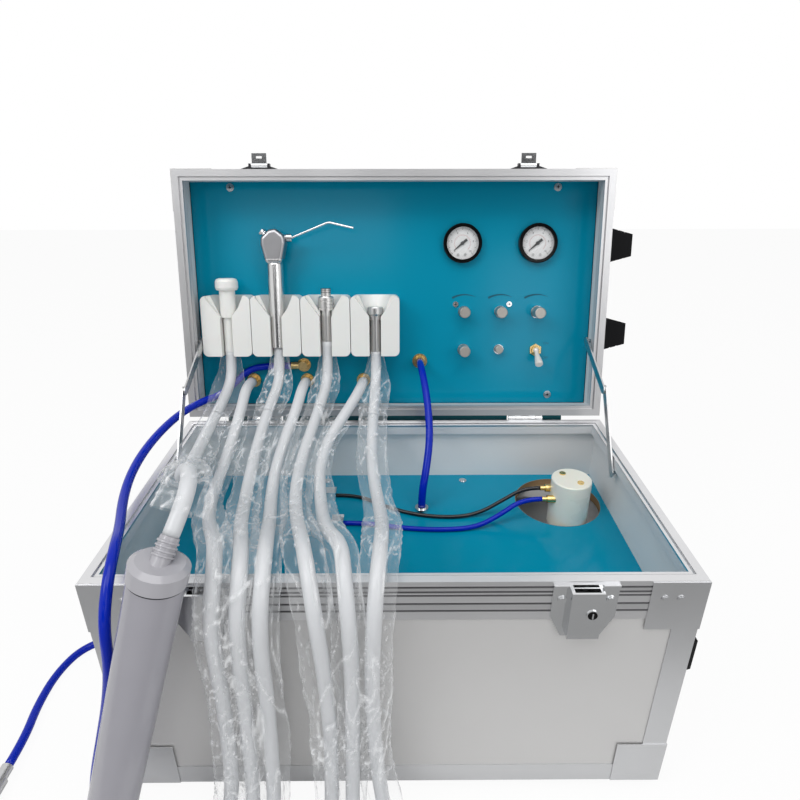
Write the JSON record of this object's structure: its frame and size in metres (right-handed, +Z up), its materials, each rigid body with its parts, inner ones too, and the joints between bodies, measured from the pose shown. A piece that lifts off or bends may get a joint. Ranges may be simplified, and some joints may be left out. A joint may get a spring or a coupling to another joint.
{
  "type": "portable dental unit",
  "caption": "Carrying case with a hinged lid that holds instrument holders, gauges and valves, with hoses that run over its front rim, a deck with a water bottle, and a waste canister.",
  "frame": {"origin": "on the floor, under the middle of the case", "axes": "+Z up; the case's front faces -Y and its hinges are at +Y; +X to the user's right"},
  "size_m": [0.6316, 0.5948, 0.5097],
  "materials": {
    "laminate_grey": "grey laminated board",
    "teal_gloss": "glossy teal panel",
    "teal_deck": "glossy teal board",
    "aluminium": "satin anodised",
    "chrome": "polished",
    "steel": "brushed",
    "brass": "turned",
    "rubber_black": "matt",
    "white_plastic": "moulded",
    "clear_plastic": "translucent",
    "gauge_black": "black enamel",
    "dial_white": "white",
    "lens": "clear",
    "needle_black": "matt",
    "hose_grey": "smooth grey hose",
    "tube_blue": "polyurethane tube",
    "tube_black": "polyurethane tube",
    "canister_grey": "moulded",
    "black_coating": "black coated"
  },
  "bodies": {
    "base": {"base_shell": "laminate_grey", "base_rim": "aluminium", "base_edges": "aluminium", "base_feet": "rubber_black", "deck_board": "teal_deck", "deck_fittings": "chrome", "water_bottle": "clear_plastic", "bottle_cap": "white_plastic", "cap_fittings": "brass", "lock_bodies": "chrome", "hinge_base_leaves": "chrome", "handle_brackets": "chrome", "hose_1": "hose_grey", "hose_2": "hose_grey", "hose_3": "hose_grey", "hose_4": "hose_grey", "air_hose": "tube_blue", "supply_hose": "tube_blue", "black_tube": "tube_black", "blue_tube": "tube_blue", "canister_body": "canister_grey", "canister_cap": "canister_grey", "air_connector": "steel"},
    "lid": {"lid_shell": "laminate_grey", "lid_rim": "aluminium", "lid_edges": "aluminium", "lid_feet": "rubber_black", "hinge_lid_leaves": "chrome", "lid_catches": "black_coating", "control_panel": "teal_gloss", "tool_holder_1": "white_plastic", "tool_holder_2": "white_plastic", "tool_holder_3": "white_plastic", "tool_holder_4": "white_plastic", "gauge_cases": "gauge_black", "gauge_dials": "dial_white", "gauge_lenses": "lens", "panel_fittings": "brass"},
    "needle_left": {"gauge_needle_1": "needle_black"},
    "needle_right": {"gauge_needle_2": "needle_black"},
    "knob_1": {"knob_1": "steel"},
    "knob_2": {"knob_2": "steel"},
    "knob_3": {"knob_3": "steel"},
    "knob_4": {"knob_4": "steel"},
    "push_button": {"push_button": "steel"},
    "toggle_lever": {"toggle_lever": "chrome"},
    "hasp_left": {"hasp_1": "chrome"},
    "hasp_right": {"hasp_2": "chrome"},
    "stay_lower_left": {"stay_lower_left": "steel"},
    "stay_lower_right": {"stay_lower_right": "steel"},
    "stay_upper_left": {"stay_upper_left": "steel"},
    "stay_upper_right": {"stay_upper_right": "steel"},
    "carry_handle": {"carry_handle": "rubber_black"},
    "saliva_ejector": {"saliva_ejector": "white_plastic"},
    "syringe": {"syringe_body": "chrome"},
    "air_button": {"air_button": "chrome"},
    "water_button": {"water_button": "chrome"},
    "nozzle": {"syringe_nozzle": "chrome"},
    "coupling_3": {"coupling_3": "steel"},
    "coupling_4": {"coupling_4": "steel"}
  },
  "joints": [
    {"name": "lid_hinge", "type": "hinge", "parent": "base", "child": "lid", "pos_m": [0, 0.1344, 0.2353], "axis": [1, 0, 0], "range_deg": [0, 102], "deforming": ["hose_1", "hose_2", "hose_3", "hose_4", "air_hose", "supply_hose"]},
    {"name": "needle_left_spin", "type": "hinge", "parent": "lid", "child": "needle_left", "pos_m": [0.0765, 0.21455, 0.41517], "axis": [0, -0.9781, 0.2079], "range_deg": [-262, 8], "stiffness_Nm_per_rad": 0.0001},
    {"name": "needle_right_spin", "type": "hinge", "parent": "lid", "child": "needle_right", "pos_m": [0.1612, 0.21455, 0.41517], "axis": [0, -0.9781, 0.2079], "range_deg": [-262, 8], "stiffness_Nm_per_rad": 0.0001},
    {"name": "knob_1_turn", "type": "hinge", "parent": "lid", "child": "knob_1", "pos_m": [0.0797, 0.19279, 0.34168], "axis": [0, -0.9781, 0.2079], "range_deg": [-720, 0]},
    {"name": "knob_2_turn", "type": "hinge", "parent": "lid", "child": "knob_2", "pos_m": [0.1213, 0.19279, 0.34168], "axis": [0, -0.9781, 0.2079], "range_deg": [-720, 0]},
    {"name": "knob_3_turn", "type": "hinge", "parent": "lid", "child": "knob_3", "pos_m": [0.163, 0.19279, 0.34168], "axis": [0, -0.9781, 0.2079], "range_deg": [-720, 0]},
    {"name": "knob_4_turn", "type": "hinge", "parent": "lid", "child": "knob_4", "pos_m": [0.0797, 0.18371, 0.29894], "axis": [0, -0.9781, 0.2079], "range_deg": [-360, 360]},
    {"name": "push_button_press", "type": "slide", "parent": "lid", "child": "push_button", "axis": [0, 0.9781, -0.2079], "range_m": [0, 0.0018], "stiffness_N_per_m": 400},
    {"name": "toggle_tilt", "type": "hinge", "parent": "lid", "child": "toggle_lever", "pos_m": [0.1646, 0.18849, 0.2969], "axis": [1, 0, 0], "range_deg": [-70, 0]},
    {"name": "hasp_left_hinge", "type": "hinge", "parent": "lid", "child": "hasp_left", "pos_m": [-0.1394, 0.19567, 0.49759], "axis": [1, 0, 0], "range_deg": [0, 95]},
    {"name": "hasp_right_hinge", "type": "hinge", "parent": "lid", "child": "hasp_right", "pos_m": [0.1394, 0.19567, 0.49759], "axis": [1, 0, 0], "range_deg": [0, 95]},
    {"name": "stay_lower_left_pivot", "type": "hinge", "parent": "base", "child": "stay_lower_left", "pos_m": [-0.2172, 0.044, 0.2185], "axis": [1, 0, 0], "range_deg": [0, 92.5]},
    {"name": "stay_upper_left_pivot", "type": "hinge", "parent": "lid", "child": "stay_upper_left", "pos_m": [-0.2152, 0.1687, 0.31491], "axis": [1, 0, 0], "range_deg": [-133.5, 0]},
    {"name": "stay_lower_right_pivot", "type": "hinge", "parent": "base", "child": "stay_lower_right", "pos_m": [0.2172, 0.044, 0.2185], "axis": [1, 0, 0], "range_deg": [0, 92.5]},
    {"name": "stay_upper_right_pivot", "type": "hinge", "parent": "lid", "child": "stay_upper_right", "pos_m": [0.2152, 0.1687, 0.31491], "axis": [1, 0, 0], "range_deg": [-133.5, 0]},
    {"name": "carry_handle_pivot", "type": "hinge", "parent": "base", "child": "carry_handle", "pos_m": [-0.2385, 0, 0.15], "axis": [0, 1, 0], "range_deg": [0, 90]},
    {"name": "saliva_ejector_lift", "type": "slide", "parent": "lid", "child": "saliva_ejector", "axis": [0, 0.2079, 0.9781], "range_m": [0, 0.09], "deforming": ["hose_1"]},
    {"name": "syringe_lift", "type": "slide", "parent": "lid", "child": "syringe", "axis": [0, 0.2079, 0.9781], "range_m": [0, 0.04], "deforming": ["hose_2"]},
    {"name": "coupling_3_lift", "type": "slide", "parent": "lid", "child": "coupling_3", "axis": [0, 0.2079, 0.9781], "range_m": [0, 0.05], "deforming": ["hose_3"]},
    {"name": "coupling_4_lift", "type": "slide", "parent": "lid", "child": "coupling_4", "axis": [0, 0.2079, 0.9781], "range_m": [0, 0.07], "deforming": ["hose_4"]},
    {"name": "air_button_press", "type": "slide", "parent": "syringe", "child": "air_button", "axis": [0.7431, -0.1391, -0.6545], "range_m": [0, 0.0015], "stiffness_N_per_m": 300},
    {"name": "water_button_press", "type": "slide", "parent": "syringe", "child": "water_button", "axis": [0.7431, -0.1391, -0.6545], "range_m": [0, 0.0015], "stiffness_N_per_m": 300},
    {"name": "nozzle_swivel", "type": "hinge", "parent": "syringe", "child": "nozzle", "pos_m": [-0.117, 0.20002, 0.42378], "axis": [1, 0, 0], "continuous": true}
  ],
  "couplings": [
    {"joint": "stay_lower_left_pivot", "follows": "lid_hinge", "ratio": 0.906},
    {"joint": "stay_upper_left_pivot", "follows": "lid_hinge", "ratio": -1.308},
    {"joint": "stay_lower_right_pivot", "follows": "lid_hinge", "ratio": 0.906},
    {"joint": "stay_upper_right_pivot", "follows": "lid_hinge", "ratio": -1.308}
  ]
}
